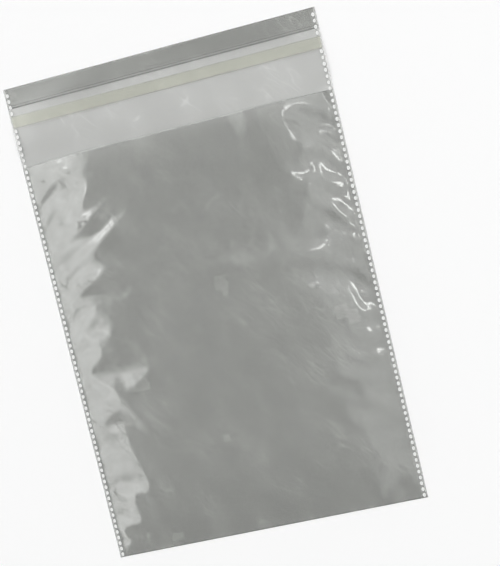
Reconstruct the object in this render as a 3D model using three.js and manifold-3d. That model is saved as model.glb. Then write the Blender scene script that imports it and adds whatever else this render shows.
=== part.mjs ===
// A clear film bag with a peel-and-seal flap and dotted side seams, lying flat with a little air in it.
// Millimetres: +X across the bag, +Y from the bottom fold to the flap, +Z up from the back panel.

import * as THREE from "three";
import { mergeVertices } from "three/addons/utils/BufferGeometryUtils.js";
import Module from "manifold-3d";

const wasm = await Module();
wasm.setup();

// Film and bag
const bagWidth = 160;
const bodyLength = 205; // bottom fold to mouth
const flapLength = 40; // mouth to free edge
const lipDepth = 10; // film turned back on itself at the free edge
const filmGauge = 0.05;
const plyGap = 0.05; // air between two plies that lie together

// Air in the pouch
const bodyLoft = 6.6; // how far the front panel stands off the back panel
const mouthLoft = 5.9;
const mouthRun = 60; // length over which the loft falls to the mouth's
const sideShoulder = 30; // seam to full loft
const foldShoulder = 36; // bottom fold to full loft
const lipSpring = 0.3; // how far the turned lip stands open at its raw edge

// Side seams
const seamWidth = 3.3; // cut edge to the pouch
const beadWidth = 0.5; // melted film along the cut edge
const beadHeight = 0.25;
const dotPitch = 3;
const dotLength = 2.25; // along the seam
const dotWidth = 1.65;
const dotInset = 1.65; // cut edge to the middle of the dots
const dotRise = 0.12;
const dotTopShare = 0.55; // top of a dot over its foot
const dotSides = 6;

// Peel-and-seal strip on the flap
const linerInset = 14; // free edge to the release liner
const linerWidth = 6;
const linerGauge = 0.05;
const adhesiveWidth = 5;
const adhesiveGauge = 0.05;
const stripEndGap = 0.4; // bead to the end of the strip

// Fineness of the lofted panel
const acrossSteps = 22;
const alongSteps = 26;
const beadSteps = 3;

// Soft folds in the front panel. Each lies at a distance in from a side and up from the bottom fold,
// turned that many degrees from +X, with its length, its width and its height.
const softFolds = [
  { side: -1, inward: 29, up: 171, turn: 27, length: 22, width: 5, height: 1.1 },
  { side: -1, inward: 39, up: 163, turn: 30, length: 30, width: 5, height: 0.9 },
  { side: -1, inward: 29, up: 182, turn: 43, length: 16, width: 4, height: 0.6 },
  { side: -1, inward: 24, up: 142, turn: 7, length: 20, width: 6, height: 0.8 },
  { side: -1, inward: 30, up: 80, turn: -64, length: 36, width: 7, height: 1 },
  { side: -1, inward: 21, up: 45, turn: -83, length: 40, width: 7, height: 0.8 },
  { side: 1, inward: 10, up: 152, turn: -72, length: 20, width: 5, height: 0.9 },
  { side: 1, inward: 10, up: 91, turn: -72, length: 24, width: 5, height: 0.9 },
  { side: 1, inward: 47, up: 131, turn: -4, length: 56, width: 7, height: 0.8 },
  { side: 1, inward: 16, up: 117, turn: -12, length: 34, width: 6, height: -0.6 },
];

// Derived places
const halfWidth = bagWidth / 2;
const totalLength = bodyLength + flapLength;
const pliesTop = 2 * filmGauge + plyGap;
const foldRound = filmGauge;
const seamLine = halfWidth - seamWidth;
const beadMiddle = halfWidth - beadWidth / 2;
const lipEdge = totalLength - lipDepth;
const linerMiddle = totalLength - linerInset - linerWidth / 2;
const stripHalfLength = halfWidth - beadWidth - stripEndGap;

const filmMaterial = new THREE.MeshStandardMaterial({
  color: 0xe6e9e7,
  roughness: 0.08,
  metalness: 0,
  transparent: true,
  opacity: 0.3,
});
const adhesiveMaterial = new THREE.MeshStandardMaterial({
  color: 0xc9cbb4,
  roughness: 0.35,
  metalness: 0,
  transparent: true,
  opacity: 0.5,
});
const linerMaterial = new THREE.MeshStandardMaterial({
  color: 0xdfe1d6,
  roughness: 0.15,
  metalness: 0,
  transparent: true,
  opacity: 0.4,
});

function toSolid(geometry) {
  const bare = geometry.clone();
  bare.deleteAttribute("normal");
  bare.deleteAttribute("uv");
  const merged = mergeVertices(bare);
  return new wasm.Manifold(
    new wasm.Mesh({
      numProp: 3,
      vertProperties: new Float32Array(merged.attributes.position.array),
      triVerts: new Uint32Array(merged.index.array),
    }),
  );
}

function toGeometry(solid) {
  const mesh = solid.getMesh();
  const geometry = new THREE.BufferGeometry();
  geometry.setAttribute("position", new THREE.BufferAttribute(mesh.vertProperties, 3));
  geometry.setIndex(new THREE.BufferAttribute(mesh.triVerts, 1));
  geometry.computeVertexNormals();
  return geometry;
}

// 0 at the start of a shoulder, rising round to 1 at its end.
function shoulder(distance, run) {
  return Math.sin((THREE.MathUtils.clamp(distance / run, 0, 1) * Math.PI) / 2);
}

function softFoldHeight(fold, x, y) {
  const turn = THREE.MathUtils.degToRad(fold.turn);
  const dx = x - fold.side * (halfWidth - fold.inward);
  const dy = y - fold.up;
  const along = (dx * Math.cos(turn) + dy * Math.sin(turn)) / (fold.length / 2);
  const across = (dy * Math.cos(turn) - dx * Math.sin(turn)) / fold.width;
  return fold.height * Math.exp(-along * along - across * across);
}

// How far the front panel stands off its place flat on the back panel.
function frontRise(x, y) {
  const cover = shoulder(seamLine - Math.abs(x), sideShoulder) * shoulder(y - foldRound, foldShoulder);
  const atMouth = THREE.MathUtils.smoothstep(y, bodyLength - mouthRun, bodyLength);
  let rise = THREE.MathUtils.lerp(bodyLoft, mouthLoft, atMouth);
  for (const fold of softFolds) {
    rise += softFoldHeight(fold, x, y);
  }
  return cover * rise;
}

function lipRise(x, y) {
  const open = (totalLength - foldRound - y) / (lipDepth - foldRound);
  return lipSpring * open * shoulder(seamLine - Math.abs(x), sideShoulder);
}

// The web's edge-on outline: back panel, turned lip, and front panel folded up from the bottom.
function webOutline() {
  const top = pliesTop;
  const inside = filmGauge + plyGap;
  const points = [
    new THREE.Vector2(foldRound, 0),
    new THREE.Vector2(totalLength - foldRound, 0),
    new THREE.Vector2(totalLength, foldRound),
    new THREE.Vector2(totalLength, top - foldRound),
    new THREE.Vector2(totalLength - foldRound, top),
    new THREE.Vector2(lipEdge, top),
    new THREE.Vector2(lipEdge, inside),
    new THREE.Vector2(totalLength - foldRound, inside),
    new THREE.Vector2(totalLength - foldRound, filmGauge),
    new THREE.Vector2(foldRound, filmGauge),
  ];
  const stations = [];
  for (let i = 0; i <= alongSteps; i += 1) {
    stations.push(THREE.MathUtils.lerp(foldRound, bodyLength, i / alongSteps));
  }
  for (const y of stations) {
    points.push(new THREE.Vector2(y, inside));
  }
  for (const y of stations.toReversed()) {
    points.push(new THREE.Vector2(y, top));
  }
  points.push(new THREE.Vector2(0, top - foldRound));
  points.push(new THREE.Vector2(0, foldRound));
  return new THREE.Shape(points);
}

// The whole web as one folded sheet between the beads, with its front panel and its lip lofted.
function foldedWeb() {
  const web = new THREE.ExtrudeGeometry(webOutline(), {
    depth: bagWidth,
    steps: acrossSteps,
    bevelEnabled: false,
  });
  const alongY = new THREE.Vector3(0, 1, 0);
  const alongZ = new THREE.Vector3(0, 0, 1);
  const alongX = new THREE.Vector3(1, 0, 0);
  web.applyMatrix4(new THREE.Matrix4().makeBasis(alongY, alongZ, alongX));
  const position = web.attributes.position;
  for (let i = 0; i < position.count; i += 1) {
    const step = Math.round((position.getX(i) / bagWidth) * acrossSteps);
    const x = stationAcross(step);
    const y = position.getY(i);
    let z = position.getZ(i);
    if (z > filmGauge + plyGap / 2) {
      z += y > bodyLength ? lipRise(x, y) : frontRise(x, y);
    }
    position.setXYZ(i, x, y, z);
  }
  return toSolid(web);
}

// The first and last steps end in the beads, and the others share the width between the seams.
function stationAcross(step) {
  if (step === 0) {
    return -beadMiddle;
  }
  if (step === acrossSteps) {
    return beadMiddle;
  }
  return THREE.MathUtils.lerp(-seamLine, seamLine, (step - 1) / (acrossSteps - 2));
}

// A section across the bag at its +X side, drawn out along Y and turned round for the -X side.
function alongSide(section, side, from, to) {
  const strip = new THREE.ExtrudeGeometry(section, {
    depth: to - from,
    curveSegments: beadSteps,
    bevelEnabled: false,
  });
  strip.rotateX(Math.PI / 2);
  if (side > 0) {
    strip.translate(0, to, 0);
  } else {
    strip.rotateZ(Math.PI);
    strip.translate(0, from, 0);
  }
  return toSolid(strip);
}

// The melted bead that runs the whole length of a cut edge.
function cutEdgeBead(side) {
  const section = new THREE.Shape();
  section.moveTo(halfWidth - beadWidth, 0);
  section.lineTo(halfWidth, 0);
  section.lineTo(halfWidth, pliesTop);
  section.absellipse(beadMiddle, pliesTop, beadWidth / 2, beadHeight - pliesTop, 0, Math.PI);
  return alongSide(section, side, 0, totalLength);
}

// The band beside a bead where two plies are fused.
function fusedBand(side, from, to) {
  const section = new THREE.Shape();
  section.moveTo(seamLine, 0);
  section.lineTo(beadMiddle, 0);
  section.lineTo(beadMiddle, pliesTop);
  section.lineTo(seamLine, pliesTop);
  return alongSide(section, side, from, to);
}

// One pressed dot, rooted in the back panel's film.
function seamDot(side, y) {
  const onTwoPlies = y < bodyLength || y > lipEdge;
  const foot = filmGauge / 2;
  const top = (onTwoPlies ? pliesTop : filmGauge) + dotRise;
  const dot = new THREE.CylinderGeometry(dotTopShare, 1, top - foot, dotSides);
  dot.rotateX(Math.PI / 2);
  dot.scale(dotWidth / 2, dotLength / 2, 1);
  dot.translate(side * (halfWidth - dotInset), y, (foot + top) / 2);
  return toSolid(dot);
}

function underLiner(y) {
  return Math.abs(y - linerMiddle) < linerWidth / 2 + dotLength / 2 + stripEndGap;
}

function bagFilm() {
  let film = foldedWeb();
  for (const side of [-1, 1]) {
    film = film.add(fusedBand(side, foldRound, bodyLength));
    film = film.add(fusedBand(side, lipEdge, totalLength - foldRound));
    film = film.add(cutEdgeBead(side));
    for (let y = dotPitch / 2; y < totalLength - dotLength / 2; y += dotPitch) {
      if (!underLiner(y)) {
        film = film.add(seamDot(side, y));
      }
    }
  }
  return toGeometry(film);
}

// A flat strip across the flap, its middle on the liner's.
function flapStrip(width, halfLength, base, gauge) {
  const strip = new THREE.BoxGeometry(2 * halfLength, width, gauge);
  strip.translate(0, linerMiddle, base + gauge / 2);
  return strip;
}

function named(name, geometry, material) {
  const mesh = new THREE.Mesh(geometry, material);
  mesh.name = name;
  return mesh;
}

const adhesive = flapStrip(adhesiveWidth, stripHalfLength, filmGauge, adhesiveGauge);
const liner = flapStrip(linerWidth, stripHalfLength, filmGauge + adhesiveGauge, linerGauge);

const bag = new THREE.Group();
bag.add(named("bag_film", bagFilm(), filmMaterial));
bag.add(named("adhesive_strip", adhesive, adhesiveMaterial));
bag.add(named("release_liner", liner, linerMaterial));
bag.position.y = -totalLength / 2;

export default bag;
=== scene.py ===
import math

import bpy
import numpy as np
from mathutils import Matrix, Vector, noise


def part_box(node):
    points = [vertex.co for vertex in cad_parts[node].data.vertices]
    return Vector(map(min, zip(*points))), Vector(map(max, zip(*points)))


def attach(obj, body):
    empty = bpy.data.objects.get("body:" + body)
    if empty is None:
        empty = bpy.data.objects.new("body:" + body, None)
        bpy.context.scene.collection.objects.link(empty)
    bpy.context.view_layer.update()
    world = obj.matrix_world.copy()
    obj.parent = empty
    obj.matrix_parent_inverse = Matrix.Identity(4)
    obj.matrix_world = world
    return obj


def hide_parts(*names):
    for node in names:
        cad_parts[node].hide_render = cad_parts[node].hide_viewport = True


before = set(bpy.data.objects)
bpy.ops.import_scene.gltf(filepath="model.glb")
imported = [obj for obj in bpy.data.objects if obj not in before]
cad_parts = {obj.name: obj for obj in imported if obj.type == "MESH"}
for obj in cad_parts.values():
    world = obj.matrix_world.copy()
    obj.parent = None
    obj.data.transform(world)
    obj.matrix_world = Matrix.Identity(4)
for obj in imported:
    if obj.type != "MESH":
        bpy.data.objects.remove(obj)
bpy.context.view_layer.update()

mm = 0.001

# the bag, in metres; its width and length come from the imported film
bag = {
    "body": 205 * mm,          # bottom fold to mouth
    "lip": 10 * mm,            # film turned back at the free edge
    "gauge": 0.05 * mm,
    "plyGap": 0.05 * mm,
    "seam": 3.3 * mm,          # cut edge to the pouch
    "bodyLoft": 6.6 * mm,
    "mouthLoft": 5.9 * mm,
    "mouthRun": 60 * mm,
    "sideShoulder": 30 * mm,
    "foldShoulder": 36 * mm,
    "lipSpring": 0.3 * mm,
    "bead": 0.5 * mm,
}
filmLow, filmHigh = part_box("bag_film")
halfWidth = (filmHigh.x - filmLow.x) / 2
foldY = filmLow.y               # where the bottom fold lies
freeY = filmHigh.y              # where the flap ends
mouthY = foldY + bag["body"]
lipY = freeY - bag["lip"]
seamX = halfWidth - bag["seam"]
beadX = halfWidth - bag["bead"] / 2
plyTop = 2 * bag["gauge"] + bag["plyGap"]
linerLow, linerHigh = (corner.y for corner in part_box("release_liner"))

# soft folds of the front panel, in mm and degrees:
# side, in from that side, up from the fold, turn, length, width, height
softFolds = [
    (-1, 29, 171, 27, 24, 4.5, 1.5),
    (-1, 39, 163, 30, 34, 4.5, 1.3),
    (-1, 29, 182, 43, 18, 4, 0.9),
    (-1, 26, 142, 12, 24, 5, 1.2),
    (-1, 31, 70, -52, 34, 4.5, 1.35),
    (-1, 25, 46, -73, 36, 5, 1.2),
    (-1, 17, 22, -74, 30, 4.5, 0.9),
    (1, 20, 181, 62, 9, 2.8, 0.55),
    (1, 21, 163, 48, 8, 2.6, 0.5),
    (1, 27, 151, 70, 8, 2.6, 0.45),
    (1, 10, 152, -72, 20, 5, 0.9),
    (1, 10, 91, -72, 24, 5, 0.9),
    (1, 47, 131, -4, 56, 6, 1.1),
    (1, 16, 117, -12, 34, 6, -0.9),
]

# finer wrinkles: where they are strongest (side, up from the fold), how far that reaches,
# turn of their ridges, ridge length and spacing, height
puckers = [
    (-1, 165, 46, 34, 26, 8, 0.42),
    (-1, 85, 46, -62, 34, 10, 0.28),
    (-1, 25, 34, -78, 40, 10, 0.30),
    (1, 150, 40, -70, 24, 8, 0.30),
    (1, 90, 44, -74, 30, 9, 0.30),
    (1, 25, 34, -66, 30, 10, 0.22),
]

wrinkle = {
    "reach": 30 * mm,          # how far the puckers run in from the seam
    "ridge": 2.4,              # how narrow their ridges are
    "weld": 5 * mm, "fold": 8 * mm,            # how soon wrinkles start beside the weld and the fold
    "lateWeld": 9 * mm, "lateFold": 12 * mm,   # and those that are added to the settled panel
    "jitter": 0.15 * mm, "jitterSize": 9 * mm,
    "swell": 0.7 * mm, "swellSize": 38 * mm,
    "crinkle": 0.025 * mm, "crinkleSize": 9 * mm, "crinkleLong": 1.6,
    "under": 0.25 * mm, "underSize": 24 * mm, "underRun": 12 * mm, "freeRun": 9 * mm,
    "flapLift": 0.35 * mm, "flapWave": 0.8 * mm, "flapSize": 42 * mm, "flapSquash": 0.7, "flapRun": 12 * mm,
}

# where each noise starts, so that no two patterns match
seeds = {
    "pucker": 3.1, "puckerStep": 5.7, "jitter": 5.5, "spare": 77.7, "crinkle": 9.2, "swell": 7.7,
    "under": 21.4, "flap": 12.5, "beadSwell": 31.0, "beadWave": 35.0, "adhesive": 51.0, "liner": 57.0,
}


def deselectAll():
    if bpy.context.object and bpy.context.object.mode != "OBJECT":
        bpy.ops.object.mode_set(mode="OBJECT")
    bpy.ops.object.select_all(action="DESELECT")


def pick(obj):
    deselectAll()
    obj.select_set(True)
    bpy.context.view_layer.objects.active = obj


def shoulder(distance, run):
    return np.sin(np.clip(distance / run, 0, 1) * math.pi / 2)


def smoothstep(value, low, high):
    t = np.clip((value - low) / (high - low), 0, 1)
    return t * t * (3 - 2 * t)


def noiseOver(x, y, sizeX, sizeY, seed):
    x, y = np.broadcast_arrays(x, y)
    points = np.stack([x / sizeX, y / sizeY, np.full(x.shape, seed)], -1).reshape(-1, 3)
    return np.array([noise.noise(Vector(p)) for p in points]).reshape(x.shape)


def turned(x, y, degrees):
    a = math.radians(degrees)
    return x * math.cos(a) + y * math.sin(a), y * math.cos(a) - x * math.sin(a)


def foldHeights(x, y):
    total = np.zeros_like(x)
    for side, inward, up, turn, length, width, height in softFolds:
        along, across = turned(x - side * (halfWidth - inward * mm), y - (foldY + up * mm), turn)
        along, across = along / (length * mm / 2), across / (width * mm)
        total += height * mm * np.exp(-along**2 - across**2)
    return total


def puckerHeights(x, y):
    fromSeam = np.maximum(seamX - np.abs(x), 0)
    fade = np.exp(-(fromSeam / wrinkle["reach"])**2)
    total = np.zeros_like(x)
    for i, (side, up, spread, turn, length, width, height) in enumerate(puckers):
        near = np.exp(-((y - foldY - up * mm) / (spread * mm))**2) * (np.sign(x) == side)
        u, v = turned(x, y, turn)
        seed = seeds["pucker"] + seeds["puckerStep"] * i
        ridge = 1 - wrinkle["ridge"] * np.abs(noiseOver(u, v, length * mm, width * mm, seed))
        total += height * mm * near * ridge
    return total * fade


def frontStart(x, y):
    # the air-filled panel before it is let go, with its seeds of wrinkles
    fromSeam, fromFold = seamX - np.abs(x), y - foldY
    cover = shoulder(fromSeam, bag["sideShoulder"]) * shoulder(fromFold - bag["gauge"], bag["foldShoulder"])
    toMouth = smoothstep(y, mouthY - bag["mouthRun"], mouthY)
    loft = bag["bodyLoft"] + (bag["mouthLoft"] - bag["bodyLoft"]) * toMouth
    lively = shoulder(fromSeam, wrinkle["weld"]) * shoulder(fromFold, wrinkle["fold"])
    size = wrinkle["jitterSize"]
    jitter = wrinkle["jitter"] * noiseOver(x, y, size, size, seeds["jitter"])
    return cover * (loft + foldHeights(x, y)) + lively * (puckerHeights(x, y) + jitter)


settle = {
    "across": 96, "along": 128, "frames": 20, "quality": 6,
    "scale": 10,               # the solver works best on a sheet of a metre or two
    "spare": 0.012,            # how much longer the film is than its start, at the seams
    "spareReach": 26 * mm, "spareInside": 0.05, "rightShare": 0.6,
    "spareLeast": 0.6, "spareVary": 0.8, "spareSize": 40 * mm,
    "foldKept": 0.6,           # share of the soft folds that is set again once the cloth has eased them
    "stretch": 40, "shear": 20, "bend": 5.0, "mass": 0.02, "damping": 8, "air": 2,
}


def spareShare(x, y):
    c = settle
    fromSeam = np.maximum(seamX - np.abs(x), 0)
    near = np.exp(-(fromSeam / c["spareReach"])**2) * np.where(x > 0, c["rightShare"], 1)
    patches = noiseOver(x, y, c["spareSize"], c["spareSize"], seeds["spare"])
    uneven = c["spareLeast"] + c["spareVary"] * (patches + 0.5)
    return np.clip(np.maximum(near, c["spareInside"]) * uneven, 0, 1)


def settleFront():
    # cloth: welded at the sides and held at the fold, the spare film buckles into puckers
    c = settle
    x, y = np.meshgrid(np.linspace(-seamX, seamX, c["across"] + 1),
                       np.linspace(mouthY, foldY + 2 * bag["gauge"], c["along"] + 1))
    start = np.stack([x, y, frontStart(x, y)], -1)
    panel = gridPiece("front_panel", start * c["scale"])
    held = panel.vertex_groups.new(name="held")
    tight = panel.vertex_groups.new(name="tight")
    edge = (np.abs(x) > seamX - bag["gauge"]) | (y < foldY + 3 * bag["gauge"])
    held.add(np.flatnonzero(edge).tolist(), 1.0, "REPLACE")
    for i, share in enumerate((1 - spareShare(x, y)).reshape(-1)):
        tight.add([i], float(share), "REPLACE")
    cloth = panel.modifiers.new("film", "CLOTH")
    film = cloth.settings
    film.quality = c["quality"]
    film.mass = c["mass"]
    film.air_damping = c["air"]
    film.tension_stiffness = film.compression_stiffness = c["stretch"]
    film.shear_stiffness = c["shear"]
    film.bending_stiffness = c["bend"]
    film.tension_damping = film.compression_damping = film.shear_damping = c["damping"]
    film.vertex_group_mass = held.name
    film.vertex_group_shrink = tight.name
    film.shrink_min = -c["spare"]
    film.shrink_max = 0.0
    film.effector_weights.gravity = 0
    cloth.collision_settings.use_collision = False
    cloth.point_cache.frame_start = 1
    cloth.point_cache.frame_end = c["frames"]
    for step in range(1, c["frames"] + 1):
        bpy.context.scene.frame_set(step)
    pick(panel)
    bpy.ops.object.modifier_apply(modifier=cloth.name)
    settled = np.zeros(start.size)
    panel.data.vertices.foreach_get("co", settled)
    bpy.data.objects.remove(panel)
    bpy.context.scene.frame_set(1)
    print("front panel settled")
    return settled.reshape(start.shape) / c["scale"]


def finer(values, count):
    # cubic interpolation along the first axis
    at = np.linspace(0, len(values) - 1, count)
    i = np.clip(np.floor(at).astype(int), 0, len(values) - 2)
    t = (at - i).reshape((-1,) + (1,) * (values.ndim - 1))
    a, b, c, d = (values[np.clip(i + k, 0, len(values) - 1)] for k in (-1, 0, 1, 2))
    return b + 0.5 * t * (c - a + t * (2 * a - 5 * b + 4 * c - d + t * (3 * (b - c) + d - a)))


webGrid = {"across": 150, "band": 3, "front": 190, "back": 60, "flap": 40, "lip": 10, "round": 5}


def frontPlaces():
    g = webGrid
    panel = finer(settleFront(), g["front"] + 1)
    inner = g["across"] - 2 * g["band"]
    panel = finer(panel.transpose(1, 0, 2), inner + 1).transpose(1, 0, 2)
    x, y = panel[..., 0], panel[..., 1]
    lively = shoulder(seamX - np.abs(x), wrinkle["lateWeld"]) * shoulder(y - foldY, wrinkle["lateFold"])
    size, small = wrinkle["swellSize"], wrinkle["crinkleSize"]
    crinkle = 1 - 2 * np.abs(noiseOver(x, y, small * wrinkle["crinkleLong"], small, seeds["crinkle"]))
    swell = noiseOver(x, y, size, size, seeds["swell"])
    panel[..., 2] += lively * (wrinkle["swell"] * swell + wrinkle["crinkle"] * crinkle)
    panel[..., 2] += lively * settle["foldKept"] * foldHeights(x, y)
    panel[..., 2] = bag["gauge"] * 1.5 + bag["plyGap"] + np.maximum(panel[..., 2], underRise(x, y))
    return panel


def underRise(x, y):
    # the back panel touches the table only in places
    run, size = wrinkle["underRun"], wrinkle["underSize"]
    lively = shoulder(seamX - np.abs(x), run) * shoulder(y - foldY, run)
    lively = lively * shoulder(freeY - y, wrinkle["freeRun"])
    return lively * wrinkle["under"] * (0.5 + noiseOver(x, y, size, size, seeds["under"])).clip(0)


def flapRise(x, y):
    # the flap lies a little uneven beyond the mouth
    run = smoothstep(y, mouthY, mouthY + wrinkle["flapRun"])
    size = wrinkle["flapSize"]
    wave = noiseOver(x, y, size, size * wrinkle["flapSquash"], seeds["flap"])
    return underRise(x, y) + run * np.maximum(wrinkle["flapLift"] + wrinkle["flapWave"] * wave, 0)


def lipRise(x, y):
    opened = np.clip((freeY - y) / bag["lip"], 0, 1)
    return bag["lipSpring"] * opened * shoulder(seamX - np.abs(x), bag["sideShoulder"])


def webRows():
    # rows along the web, from the bottom fold round the free edge to the raw edge of the lip
    g, gap = bag["gauge"], bag["plyGap"]
    low, high = g / 2, g + gap + g / 2
    radius, middle = (high - low) / 2, (high + low) / 2
    inset = g / 2 + radius
    angles = np.linspace(0, math.pi, webGrid["round"] + 1)
    rows = [(foldY + inset - radius * math.sin(a), middle + radius * math.cos(a), "fold") for a in angles]
    rows += [(y, low, "back") for y in np.linspace(foldY + inset, mouthY, webGrid["back"] + 1)[1:]]
    rows += [(y, low, "back") for y in np.linspace(mouthY, freeY - inset, webGrid["flap"] + 1)[1:-1]]
    rows += [(freeY - inset + radius * math.sin(a), middle - radius * math.cos(a), "turn") for a in angles]
    rows += [(y, high, "lip") for y in np.linspace(freeY - inset, lipY, webGrid["lip"] + 1)[1:]]
    return rows


def gridPiece(name, place):
    # a grid primitive whose points are then laid where they belong
    rows, count = place.shape[:2]
    deselectAll()
    bpy.ops.mesh.primitive_grid_add(x_subdivisions=count - 1, y_subdivisions=rows - 1, size=1)
    piece = bpy.context.object
    piece.name = piece.data.name = name
    piece.data.vertices.foreach_set("co", place.reshape(-1).astype(np.float32))
    piece.data.update()
    return piece


def thicken(piece, gauge):
    pick(piece)
    wall = piece.modifiers.new("gauge", "SOLIDIFY")
    wall.thickness = gauge
    wall.offset = 0
    bpy.ops.object.modifier_apply(modifier=wall.name)
    bpy.ops.object.mode_set(mode="EDIT")
    bpy.ops.mesh.select_all(action="SELECT")
    bpy.ops.mesh.normals_make_consistent(inside=False)
    bpy.ops.object.mode_set(mode="OBJECT")
    bpy.ops.object.shade_smooth()


def finishPiece(piece, material, slot, *nodes):
    piece.data.materials.clear()
    piece.data.materials.append(material)
    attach(piece, "root")
    if nodes:
        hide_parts(*nodes)
    print(piece.name, len(piece.data.polygons), "faces")
    return piece


def makeFilm(material):
    g = webGrid
    bandX = np.linspace(seamX, beadX, g["band"] + 1)[1:]
    front = frontPlaces()
    xs = np.concatenate([-bandX[::-1], np.linspace(-seamX, seamX, front.shape[1]), bandX])
    place = []
    for line in front[:-1]:
        y, z = np.full(g["band"], line[0, 1]), np.full(g["band"], line[0, 2])
        left = np.stack([-bandX[::-1], y, z], -1)
        right = np.stack([bandX, y, z], -1)
        place.append(np.concatenate([left, line, right]))
    for y, z, kind in webRows():
        yy = np.full(len(xs), y)
        rise = flapRise(xs, yy)
        if kind == "lip":
            rise = rise + lipRise(xs, yy)
        place.append(np.stack([xs, yy, z + rise], -1))
    film = gridPiece("film_web", np.array(place))
    thicken(film, bag["gauge"])
    return finishPiece(film, material, "clear_film", "bag_film")


edgeBead = {
    "height": 0.25 * mm, "sides": 8, "cuts": 160,
    "wave": 0.12 * mm, "waveSize": 30 * mm,
    "swell": 0.28, "swellSize": 2.5 * mm,      # how unevenly the melt has gathered
}


def makeBead(side, material):
    b = edgeBead
    length = freeY - foldY
    deselectAll()
    bpy.ops.mesh.primitive_cylinder_add(
        vertices=b["sides"], radius=bag["bead"] / 2, depth=length, rotation=(math.pi / 2, 0, 0),
        location=(side * beadX, (freeY + foldY) / 2, b["height"] / 2))
    bead = bpy.context.object
    bead.name = bead.data.name = "edge_bead_" + ("left" if side < 0 else "right")
    bpy.ops.object.transform_apply(location=True, rotation=True, scale=True)
    bpy.ops.object.mode_set(mode="EDIT")
    bpy.ops.mesh.select_mode(type="EDGE")
    bpy.ops.mesh.select_all(action="DESELECT")
    bpy.ops.object.mode_set(mode="OBJECT")
    points = bead.data.vertices
    for edge in bead.data.edges:
        a, c = (points[i].co for i in edge.vertices)
        edge.select = abs(a.y - c.y) > length / 2
    bpy.ops.object.mode_set(mode="EDIT")
    bpy.ops.mesh.subdivide(number_cuts=b["cuts"])
    bpy.ops.object.mode_set(mode="OBJECT")
    points = bead.data.vertices
    co = np.zeros(len(points) * 3)
    points.foreach_get("co", co)
    co = co.reshape(-1, 3)
    y = co[:, 1]
    flat = np.zeros_like(y)
    fat = 1 + b["swell"] * noiseOver(y, flat, b["swellSize"], 1, seeds["beadSwell"] + side)
    drift = b["wave"] * (noiseOver(y, flat, b["waveSize"], 1, seeds["beadWave"] + side) - 0.5)
    middle = b["height"] / 2
    co[:, 0] = side * beadX + (co[:, 0] - side * beadX) * fat + side * drift
    co[:, 2] = middle + (co[:, 2] - middle) * fat * b["height"] / bag["bead"]
    co[:, 2] = np.maximum(co[:, 2], 0) + flapRise(co[:, 0], y)
    points.foreach_set("co", co.reshape(-1))
    bead.data.update()
    pick(bead)
    bpy.ops.object.shade_smooth()
    return finishPiece(bead, material, "clear_film")


seamDot = {
    "pitch": 3 * mm, "length": 2.4 * mm, "width": 1.8 * mm, "inset": 1.65 * mm,
    "rise": 0.1 * mm, "sides": 12, "sunk": 0.02 * mm,
    "wall": ((0.6, 0.84), (0.4, 0.857)),       # each step up, and how much narrower it ends
    "dimple": ((0.1, -0.45), (0.12, -0.2)),    # each step inwards, and how far down it goes
    # how white the press left it, falling to 0 where the outline's painted shade goes, by distance from the
    # middle
    "reach": (0.14, 0.26, 0.36, 0.42, 0.5), "press": (0.85, 0.95, 1, 0.85, 0),
    # how far a dot strays, how much its size does, and how the draws are spread and seeded
    "jitter": 0.08 * mm, "vary": 0.1, "draw": (1.7, 9.0, 0.5), "seed": 3,
}


def makeDot():
    # a pressed oval: a raised rim round a shallow dimple
    d = seamDot
    deselectAll()
    bpy.ops.mesh.primitive_circle_add(vertices=d["sides"], radius=0.5, fill_type="NGON")
    dot = bpy.context.object
    bpy.ops.object.mode_set(mode="EDIT")
    bpy.ops.mesh.select_all(action="SELECT")
    for step, scale in d["wall"]:
        bpy.ops.mesh.extrude_region_move(TRANSFORM_OT_translate={"value": (0, 0, step)})
        bpy.ops.transform.resize(value=(scale, scale, 1))
    for inward, down in d["dimple"]:
        bpy.ops.mesh.inset(thickness=inward)
        bpy.ops.transform.translate(value=(0, 0, down))
    bpy.ops.mesh.select_all(action="SELECT")
    bpy.ops.mesh.normals_make_consistent(inside=False)
    bpy.ops.object.mode_set(mode="OBJECT")
    # how white the press left each point, and 0 at the outline, where shade is painted
    press = dot.data.attributes.new("press", "FLOAT", "POINT")
    for point, mark in zip(dot.data.vertices, press.data):
        mark.value = np.interp(point.co.xy.length, d["reach"], d["press"])
    dot.scale = (d["width"], d["length"], d["rise"])
    bpy.ops.object.transform_apply(location=True, rotation=True, scale=True)
    bpy.ops.object.shade_smooth()
    return dot


def makeDots(side, pattern, material):
    d = seamDot
    copies = []
    count = int((freeY - foldY) / d["pitch"])
    x = side * (halfWidth - d["inset"])
    stepDraw, sideDraw, startDraw = d["draw"]
    noise.seed_set(d["seed"])      # Blender seeds noise_vector from the clock otherwise
    for i in range(count):
        y = foldY + (i + 0.5) * d["pitch"]
        if linerLow - d["length"] / 2 < y < linerHigh + d["length"] / 2:
            continue
        copy = bpy.data.objects.new("dot", pattern.data.copy())
        bpy.context.scene.collection.objects.link(copy)
        shift = noise.noise_vector(Vector((i * stepDraw, side * sideDraw, startDraw))) * d["jitter"]
        top = plyTop if y < mouthY or y > lipY else bag["gauge"]
        rise = float(flapRise(np.array([x]), np.array([y]))[0])
        copy.location = (x + shift.x, y + shift.y, top + rise - d["sunk"])
        wide = 1 + d["vary"] * shift.z / d["jitter"]
        copy.scale = (wide, wide, 1)
        copies.append(copy)
    deselectAll()
    for copy in copies:
        copy.select_set(True)
    bpy.context.view_layer.objects.active = copies[0]
    bpy.ops.object.join()
    dots = bpy.context.object
    bpy.ops.object.transform_apply(location=True, rotation=True, scale=True)
    dots.name = dots.data.name = "seam_dots_" + ("left" if side < 0 else "right")
    return finishPiece(dots, material, "clear_film")


strip = {
    "across": 150, "along": 10, "gauge": 0.045 * mm,
    "clear": 0.004 * mm,       # left between the strip and what carries it
    "wave": 0.18 * mm, "waveSize": 24 * mm,
}


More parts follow.
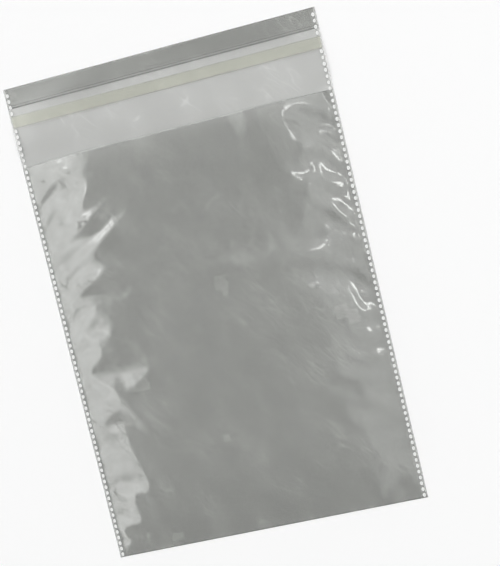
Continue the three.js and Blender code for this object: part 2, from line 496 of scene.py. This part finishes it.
def makeStrip(name, node, height, seed, material, slot):
    s = strip
    low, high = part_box(node)
    xs = np.linspace(low.x, high.x, s["across"] + 1)
    place = np.zeros((s["along"] + 1, len(xs), 3))
    for r in range(s["along"] + 1):
        edge = 2 * r / s["along"] - 1
        wander = s["wave"] * noiseOver(xs, np.full_like(xs, edge), s["waveSize"], 1, seed)
        ys = (low.y + high.y) / 2 + edge * (high.y - low.y) / 2 + wander
        place[r] = np.stack([xs, ys, height + flapRise(xs, ys)], -1)
    piece = gridPiece(name, place)
    thicken(piece, s["gauge"])
    return finishPiece(piece, material, slot, node)


# shader wiring: a wrapped socket that adds, multiplies and so on by making its own Math nodes
class Wire:
    def __init__(self, tree, socket=None):
        self.tree = tree
        self.socket = socket

    def node(self, kind, settings=None, values=None, out=0):
        made = self.tree.nodes.new(kind)
        for name, value in (settings or {}).items():
            setattr(made, name, value)
        for name, value in (values or {}).items():
            if isinstance(value, Wire):
                self.tree.links.new(value.socket, made.inputs[name])
            else:
                made.inputs[name].default_value = value
        return Wire(self.tree, made.outputs[out] if len(made.outputs) else None)

    def math(self, operation, a, b=0.0, clamp=False):
        return self.node("ShaderNodeMath", {"operation": operation, "use_clamp": clamp}, {0: a, 1: b})

    def __add__(self, other):
        return self.math("ADD", self, other)

    def __sub__(self, other):
        return self.math("SUBTRACT", self, other)

    def __rsub__(self, other):
        return self.math("SUBTRACT", other, self)

    def __mul__(self, other):
        return self.math("MULTIPLY", self, other)

    def __truediv__(self, other):
        return self.math("DIVIDE", self, other)

    def __pow__(self, other):
        return self.math("POWER", self, other)

    __radd__, __rmul__ = __add__, __mul__

    def between(self, low, high):
        return self.node("ShaderNodeMapRange", {"interpolation_type": "SMOOTHSTEP"},
                         {"Value": self, "From Min": low, "From Max": high})

    def clamped(self):
        return self.math("ADD", self, 0.0, True)

    def toward(self, direction):
        settings = {"operation": "DOT_PRODUCT"}
        return self.node("ShaderNodeVectorMath", settings, {0: self, 1: direction}, out=1)

    def line(self, at, width):
        # 1 where this value is at, fading to 0 half a width away
        return self.math("ABSOLUTE", self - at).between(width / 2, 0.0)

    def noise(self, scale, detail=3.0, stretch=None, turn=0.0):
        place = self
        if stretch:
            place = self.node("ShaderNodeMapping", {"vector_type": "TEXTURE"}, {
                "Vector": self, "Rotation": (0, 0, math.radians(turn)), "Scale": stretch})
        return self.node("ShaderNodeTexNoise", None, {"Vector": place, "Scale": scale, "Detail": detail})

    def mix(self, low, high):
        return self.node("ShaderNodeMix", {"data_type": "RGBA"}, {"Factor": self, "A": low, "B": high}, out=2)

    def bump(self, strength, depth):
        return self.node("ShaderNodeBump", None, {"Height": self, "Strength": strength, "Distance": depth})


def newMaterial(name):
    mat = bpy.data.materials.new(name)
    mat.use_nodes = True
    mat.node_tree.nodes.clear()
    wire = Wire(mat.node_tree)
    return mat, wire, wire.node("ShaderNodeTexCoord", out=3)


def mixedSurface(wire, share, through, surface):
    # what passes straight through, and what the surface itself shows
    clear = wire.node("ShaderNodeBsdfTransparent", None, {"Color": through})
    mixed = wire.node("ShaderNodeMixShader", None, {0: share, 1: clear, 2: surface})
    wire.node("ShaderNodeOutputMaterial", None, {"Surface": mixed})


def edgeOn(wire, bump, least, most=1.0):
    # how much a clear surface mirrors: least seen square on and most edge on, alike from both sides
    facing = wire.node("ShaderNodeLayerWeight", None, {"Blend": 0.5, "Normal": bump}, out=1)
    return facing ** 5.0 * (most - least) + least


filmLook = {
    "passes": (0.892, 0.894, 0.888, 1),
    "colour": (0.93, 0.94, 0.93, 1),
    # the edge colour and its share paint shade: the dark lines along the raw edges
    "edgeShadeColour": (0.3, 0.31, 0.3, 1),
    "mirror": 0.08, "haze": 0.02, "edgeShadeHaze": 0.22,
    "rough": 0.09, "roughVary": 0.06,
    "cloud": (26, 1),
    "bump": (0.5, 0.3 * mm),
    # hair scratches: their noise and line width, where they are cut in, how deep, where they show
    # as marks, and how much less the film mirrors there
    "hair": (300, 0, (1, 4, 1), 41), "hairWidth": 0.1,
    "cutWhere": (0.58, 0.66), "cut": 0.4, "markWhere": (0.52, 0.6), "mark": 0.8,
    # rubbed patches, and how much less they mirror
    "rub": (75, 1, (1, 1.8, 1), 25), "smudgeWhere": (0.36, 0.66), "smudge": 0.25,
    # painted shade: thin dark lines along the lip, mouth, fold and free edge, where light bends at the raw
    # edges: place, width, strength
    "edges": [
        (lipY, 0.8 * mm, 1.0), (lipY + 1.3 * mm, 0.5 * mm, 0.6), (mouthY, 0.6 * mm, 0.45),
        (foldY + 0.3 * mm, 0.8 * mm, 0.5), (freeY - 0.3 * mm, 0.8 * mm, 0.4),
    ],
}


def filmMaterial():
    mat, w, spot = newMaterial("clear_film")
    look = filmLook
    cloud = spot.noise(*look["cloud"])
    rub = spot.noise(*look["rub"])
    hair = spot.noise(*look["hair"]).line(0.5, look["hairWidth"])
    bump = (cloud + hair * cloud.between(*look["cutWhere"]) * look["cut"]).bump(*look["bump"])
    worn = hair * rub.between(*look["markWhere"]) * look["mark"]
    worn = worn + rub.between(*look["smudgeWhere"]) * look["smudge"]
    gloss = edgeOn(w, bump, look["mirror"]) * (1 - worn)
    # painted shade: dark lines along the raw edges, mixed into the surface's colour and share
    up, edge = spot.toward((0, 1, 0)), 0
    for place, width, strength in look["edges"]:
        edge = up.line(place, width) * strength + edge
    share = (gloss + cloud * look["haze"] + edge * look["edgeShadeHaze"]).clamped()
    shine = w.node("ShaderNodeBsdfPrincipled", None, {
        "Base Color": edge.mix(look["colour"], look["edgeShadeColour"]), "Metallic": (gloss / share).clamped(),
        "Roughness": cloud * look["roughVary"] + look["rough"], "Normal": bump})
    mixedSurface(w, share, look["passes"], shine)
    return mat


meltLook = {
    "passes": (0.99, 0.992, 0.988, 1),
    "colour": (0.96, 0.965, 0.96, 1),
    "mirror": 0.06, "edgeMirror": 0.15, "haze": 0.9,
    "grain": (900, 2), "bump": (0.3, 0.2 * mm),
    "rough": 0.06, "roughVary": 0.1,
}


def meltMaterial():
    mat, w, spot = newMaterial("melted_film")
    look = meltLook
    grain = spot.noise(*look["grain"])
    bump = grain.bump(*look["bump"])
    gloss = edgeOn(w, bump, look["mirror"], look["edgeMirror"])
    share = (gloss + grain * look["haze"]).clamped()
    shine = w.node("ShaderNodeBsdfPrincipled", None, {
        "Base Color": look["colour"], "Metallic": (gloss / share).clamped(),
        "Roughness": grain * look["roughVary"] + look["rough"], "Normal": bump})
    mixedSurface(w, share, look["passes"], shine)
    return mat


dotLook = {
    "passes": (0.99, 0.992, 0.988, 1),
    # the outline colour is painted shade round each dot
    "outline": (0.12, 0.125, 0.12, 1), "rim": (0.98, 0.985, 0.975, 1),
    "haze": 0.45, "rimHaze": 0.55, "hazeVary": 0.2,
    "grain": (900, 2), "bump": (0.3, 0.2 * mm),
    "rough": 0.12, "roughVary": 0.1,
}


def dotMaterial():
    # whitened where the film was pressed, with painted shade as a dark outline where it bends down round the
    # press mark
    mat, w, spot = newMaterial("pressed_film")
    look = dotLook
    press = w.node("ShaderNodeAttribute", {"attribute_name": "press"}, out=2)
    grain = spot.noise(*look["grain"])
    share = (press * look["rimHaze"] + look["haze"] + (grain - 0.5) * look["hazeVary"]).clamped()
    surface = w.node("ShaderNodeBsdfPrincipled", None, {
        "Base Color": press.mix(look["outline"], look["rim"]),
        "Roughness": grain * look["roughVary"] + look["rough"], "Normal": grain.bump(*look["bump"])})
    mixedSurface(w, share, look["passes"], surface)
    return mat


gumLook = {
    "passes": (0.998, 0.998, 0.981, 1),
    "thin": (0.90, 0.91, 0.82, 1), "thick": (0.96, 0.965, 0.90, 1),
    "streak": (160, 3, (12, 1, 1)), "streakHaze": 0.08,
    "blotch": (60, 4), "blotchHaze": 0.06,
    "bubble": (700, 2), "bubbleWhere": (0.6, 0.68), "bubbleClear": 0.04,
    "bump": (0.3, 0.3 * mm),
    "rough": 0.3, "roughVary": 0.3,
}


def adhesiveMaterial():
    mat, w, spot = newMaterial("adhesive")
    look = gumLook
    streak = spot.noise(*look["streak"])
    bubble = spot.noise(*look["bubble"]).between(*look["bubbleWhere"])
    blotch = spot.noise(*look["blotch"])
    share = streak * look["streakHaze"] + blotch * look["blotchHaze"] - bubble * look["bubbleClear"]
    gum = w.node("ShaderNodeBsdfPrincipled", None, {
        "Base Color": blotch.mix(look["thin"], look["thick"]),
        "Roughness": blotch * look["roughVary"] + look["rough"],
        "Normal": (streak + bubble).bump(*look["bump"])})
    mixedSurface(w, share.clamped(), look["passes"], gum)
    return mat


linerLook = {
    "passes": (0.997, 0.997, 0.99, 1),
    # the edge colour paints shade: the dark lines along the long edges
    "colour": (0.92, 0.94, 0.88, 1), "edgeShadeColour": (0.4, 0.41, 0.36, 1),
    "mirror": 0.035, "haze": 0.04,
    "cloud": (45, 3), "cloudDepth": 0.5, "grain": (300, 2), "grainDepth": 0.05, "bump": (0.25, 1 * mm),
    "rough": 0.06, "roughVary": 0.1,
    # painted shade: a dark line along each long edge
    "edgeInset": 0.3 * mm, "edgeWidth": 0.6 * mm, "edgeShadeHaze": 0.15,
}


def linerMaterial():
    mat, w, spot = newMaterial("release_liner")
    look = linerLook
    cloud = spot.noise(*look["cloud"])
    grain = spot.noise(*look["grain"])
    bump = (cloud * look["cloudDepth"] + grain * look["grainDepth"]).bump(*look["bump"])
    gloss = edgeOn(w, bump, look["mirror"])
    up = spot.toward((0, 1, 0))
    # painted shade: a dark line along each long edge, mixed into the surface's colour and share
    lowEdgeShade = up.line(linerLow + look["edgeInset"], look["edgeWidth"])
    edge = lowEdgeShade + up.line(linerHigh - look["edgeInset"], look["edgeWidth"])
    share = (gloss + cloud * look["haze"] + edge * look["edgeShadeHaze"]).clamped()
    shine = w.node("ShaderNodeBsdfPrincipled", None, {
        "Base Color": edge.mix(look["colour"], look["edgeShadeColour"]), "Metallic": (gloss / share).clamped(),
        "Roughness": cloud * look["roughVary"] + look["rough"], "Normal": bump})
    mixedSurface(w, share, look["passes"], shine)
    return mat


studio = {
    "lens": 60, "clip": (0.01, 20),
    "bounces": 24,             # how many clear surfaces a ray may pass
    "eye": (0.0792, 0.0271, 0.4614),
    "turn": (-4.94, 6.51, -13.55),
    "floor": (0.9, 0.9, 0.9, 1), "floorSize": 6, "floorRough": 0.9,
    "floorLift": 0.08,         # what the floor adds for the camera and in mirrors
    # the surroundings, as the film mirrors them
    "room": {
        "least": 0.05, "ceiling": 0.1, "walls": 0.1, "wallEdge": (0.02, 0.45), "lean": 0.35,
        "patches": (8, 1), "patchEdge": (0.35, 0.65), "patch": 0.22,
        "window": 1.85, "windowEdge": (0.27, 0.6), "windowWay": (-0.87, 0.4, 0),
        "right": 0.65, "rightEdge": (0.02, 0.45),
    },
    "boxes": [
        # name, place, length, width, watts
        ("upper left box", (-0.50, 0.42, 0.62), 0.3, 0.15, 0.28),
        ("right box", (0.66, 0.12, 0.6), 0.24, 0.1, 0.35),
        ("small right box", (0.34, 0.22, 0.74), 0.12, 0.05, 0.08),
    ],
}


def makeCamera():
    data = bpy.data.cameras.new("camera")
    data.lens = studio["lens"]
    data.clip_start, data.clip_end = studio["clip"]
    eye = bpy.data.objects.new("camera", data)
    eye.location = studio["eye"]
    eye.rotation_euler = [math.radians(a) for a in studio["turn"]]
    bpy.context.scene.collection.objects.link(eye)
    bpy.context.scene.camera = eye


def makeLamps():
    for name, place, length, width, power in studio["boxes"]:
        data = bpy.data.lights.new(name, "AREA")
        data.shape = "RECTANGLE"
        data.size = length
        data.size_y = width
        data.energy = power
        lamp = bpy.data.objects.new(name, data)
        lamp.location = place
        lamp.rotation_euler = Vector(place).to_track_quat("Z", "Y").to_euler()
        bpy.context.scene.collection.objects.link(lamp)


def makeRoom():
    world = bpy.data.worlds.new("world")
    bpy.context.scene.world = world
    world.use_nodes = True
    world.node_tree.nodes.clear()
    w = Wire(world.node_tree)
    r = studio["room"]
    way = w.node("ShaderNodeTexCoord")
    patches = way.noise(*r["patches"])
    room = (1 - way.toward((0, 0, 1))).between(*r["wallEdge"]) * r["walls"] + r["ceiling"]
    room = room + way.toward((0, 1, 0)) * r["lean"] + patches.between(*r["patchEdge"]) * r["patch"]
    room = room + way.toward(r["windowWay"]).between(*r["windowEdge"]) * (patches + 0.5) * r["window"]
    room = room + way.toward((1, 0, 0)).between(*r["rightEdge"]) * r["right"]
    ray = w.node("ShaderNodeLightPath")
    seen = w.math("MAXIMUM", room, r["least"]) * (1 - ray) + ray
    back = w.node("ShaderNodeBackground", None, {"Color": (1, 1, 1, 1), "Strength": seen})
    w.node("ShaderNodeOutputWorld", None, {"Surface": back})


def makeFloor():
    deselectAll()
    bpy.ops.mesh.primitive_plane_add(size=studio["floorSize"])
    floor = bpy.context.object
    floor.name = "floor"
    mat, w, _ = newMaterial("floor")
    ray = w.node("ShaderNodeLightPath")
    seen = ray
    for extra in ("Is Glossy Ray", "Is Transmission Ray"):
        seen = w.math("ADD", seen, Wire(w.tree, ray.socket.node.outputs[extra]), True)
    paper = w.node("ShaderNodeBsdfPrincipled", None, {
        "Base Color": studio["floor"], "Roughness": studio["floorRough"],
        "Emission Color": (1, 1, 1, 1), "Emission Strength": seen * studio["floorLift"]})
    w.node("ShaderNodeOutputMaterial", None, {"Surface": paper})
    floor.data.materials.append(mat)


makeCamera()
makeLamps()
makeRoom()
makeFloor()
print("camera, lights and floor made")

clearFilm = filmMaterial()
meltedFilm = meltMaterial()
pressedFilm = dotMaterial()
film = makeFilm(clearFilm)
dotPattern = makeDot()
for side in (-1, 1):
    makeBead(side, meltedFilm)
    makeDots(side, dotPattern, pressedFilm)
bpy.data.objects.remove(dotPattern)
gum, liner = adhesiveMaterial(), linerMaterial()
gumZ = bag["gauge"] + strip["gauge"] / 2 + strip["clear"]
linerZ = gumZ + strip["gauge"] + strip["clear"]
makeStrip("adhesive_band", "adhesive_strip", gumZ, seeds["adhesive"], gum, "adhesive")
makeStrip("liner_tape", "release_liner", linerZ, seeds["liner"], liner, "liner_film")

scene = bpy.context.scene
scene.view_settings.view_transform = "Standard"
scene.cycles.transparent_max_bounces = studio["bounces"]
